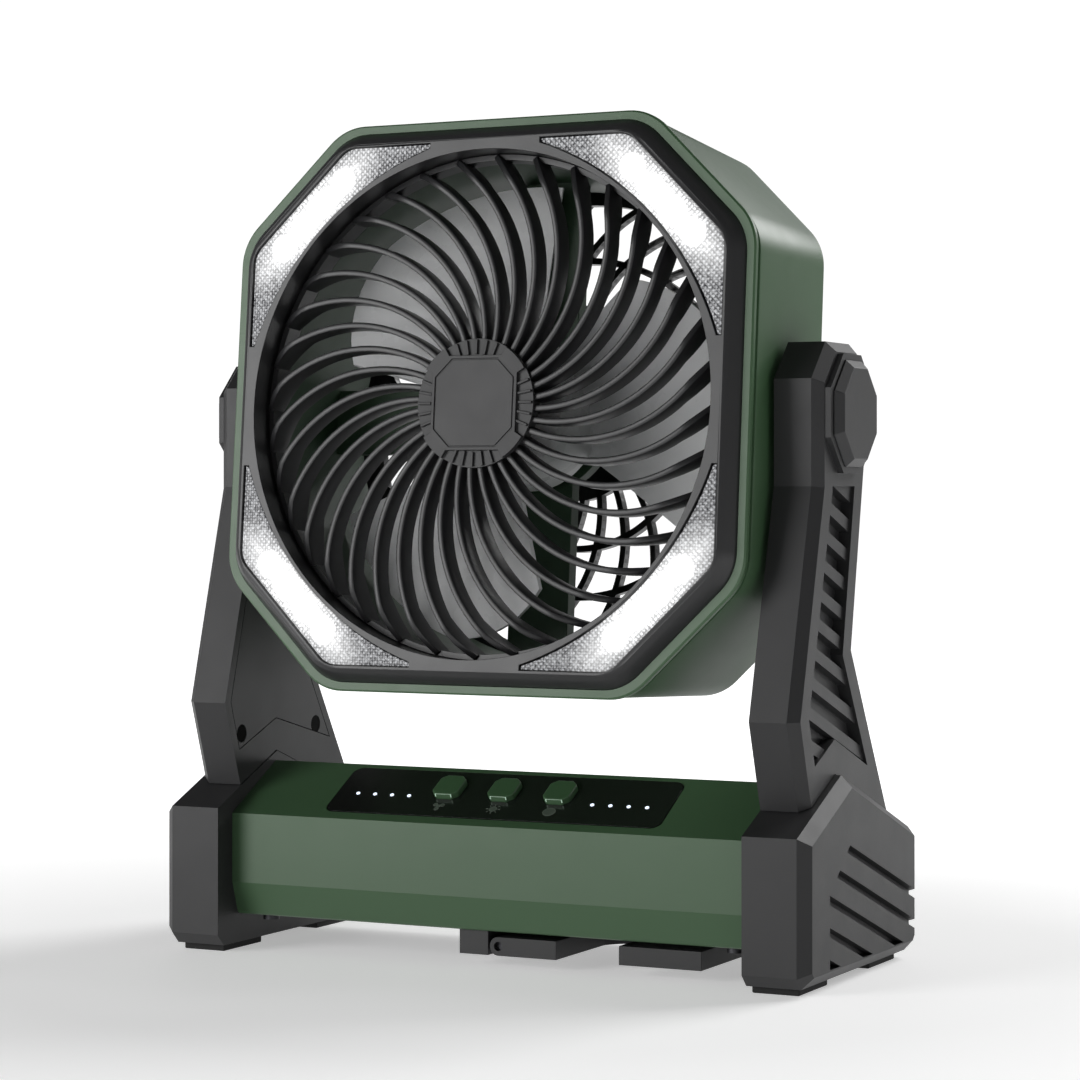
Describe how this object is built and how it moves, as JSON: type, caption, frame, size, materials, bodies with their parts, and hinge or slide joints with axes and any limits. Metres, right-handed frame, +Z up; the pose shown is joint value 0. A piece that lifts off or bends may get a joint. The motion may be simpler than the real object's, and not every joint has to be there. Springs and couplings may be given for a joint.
{
  "type": "portable camping fan",
  "caption": "Octagonal camping fan with corner lamps on a tilting head, held by two arms on a rechargeable base with a fold-out hook.",
  "frame": {"origin": "on the table, under the middle of the base", "axes": "+Z up, -Y towards the viewer out of the front grille, +X to the viewer's right"},
  "size_m": [0.252, 0.1124, 0.2987],
  "materials": {
    "green_plastic": "satin",
    "dark_green_plastic": "satin",
    "charcoal_plastic": "fine matte",
    "black_plastic": "matte",
    "blade_plastic": "satin",
    "rubber": "matte",
    "lens_plastic": "glossy translucent",
    "board": "satin",
    "steel": "brushed",
    "washer_plastic": "smooth",
    "cell_wrap": "satin"
  },
  "bodies": {
    "stand": {"arm_cover_left": "charcoal_plastic", "arm_cover_right": "charcoal_plastic", "arm_fixing_screws": "steel", "arm_left": "charcoal_plastic", "arm_right": "charcoal_plastic", "arm_screws_left": "steel", "arm_screws_right": "steel", "base_floor": "charcoal_plastic", "base_shell": "green_plastic", "battery_cells": "cell_wrap", "battery_holder": "charcoal_plastic", "bracket_screws": "steel", "cap_screws_left": "steel", "cap_screws_right": "steel", "charge_port": "steel", "control_board": "board", "control_panel": "black_plastic", "end_cap_left": "charcoal_plastic", "end_cap_right": "charcoal_plastic", "floor_screws": "steel", "foot_pads": "rubber", "hook_bracket": "charcoal_plastic", "hook_pin": "steel", "indicator_lights": "lens_plastic", "pivot_cap_left": "charcoal_plastic", "pivot_cap_right": "charcoal_plastic", "tact_switches": "black_plastic"},
    "head": {"head_shell": "green_plastic", "front_bezel": "black_plastic", "front_grille": "charcoal_plastic", "hub_cap": "charcoal_plastic", "led_chips": "lens_plastic", "fan_frame": "dark_green_plastic", "rear_guard": "charcoal_plastic", "motor_can": "black_plastic", "motor_bearings": "steel", "motor_screws": "steel", "bezel_screws": "steel", "guard_screws": "steel", "pivot_pin_left": "steel", "pivot_pin_right": "steel", "pivot_washer_left": "washer_plastic", "pivot_washer_right": "washer_plastic", "pivot_screw_left": "steel", "pivot_screw_right": "steel", "lamp_board_bottom_left": "board", "lamp_board_bottom_right": "board", "lamp_board_top_left": "board", "lamp_board_top_right": "board", "lens_bottom_left": "lens_plastic", "lens_bottom_right": "lens_plastic", "lens_top_left": "lens_plastic", "lens_top_right": "lens_plastic"},
    "rotor": {"fan_blades": "blade_plastic", "motor_shaft": "steel", "shaft_nut": "steel"},
    "button_fan": {"button_fan": "green_plastic"},
    "button_light": {"button_light": "green_plastic"},
    "button_timer": {"button_timer": "green_plastic"},
    "hook": {"hanging_hook": "charcoal_plastic"}
  },
  "joints": [
    {"name": "head_tilt", "type": "hinge", "parent": "stand", "child": "head", "pos_m": [0, 0, 0.1939], "axis": [1, 0, 0], "range_deg": [-85, 90]},
    {"name": "fan_spin", "type": "hinge", "parent": "head", "child": "rotor", "pos_m": [0, 0, 0.1939], "axis": [0, -0.9962, 0.0872], "continuous": true},
    {"name": "hook_fold", "type": "hinge", "parent": "stand", "child": "hook", "pos_m": [0.0033, 0, 0.0075], "axis": [0, 1, 0], "range_deg": [0, 90]},
    {"name": "button_fan_press", "type": "slide", "parent": "stand", "child": "button_fan", "axis": [0, 0.4848, -0.8746], "range_m": [0, 0.0009], "stiffness_N_per_m": 600, "springref_m": -0.0009},
    {"name": "button_light_press", "type": "slide", "parent": "stand", "child": "button_light", "axis": [0, 0.4848, -0.8746], "range_m": [0, 0.0009], "stiffness_N_per_m": 600, "springref_m": -0.0009},
    {"name": "button_timer_press", "type": "slide", "parent": "stand", "child": "button_timer", "axis": [0, 0.4848, -0.8746], "range_m": [0, 0.0009], "stiffness_N_per_m": 600, "springref_m": -0.0009}
  ]
}
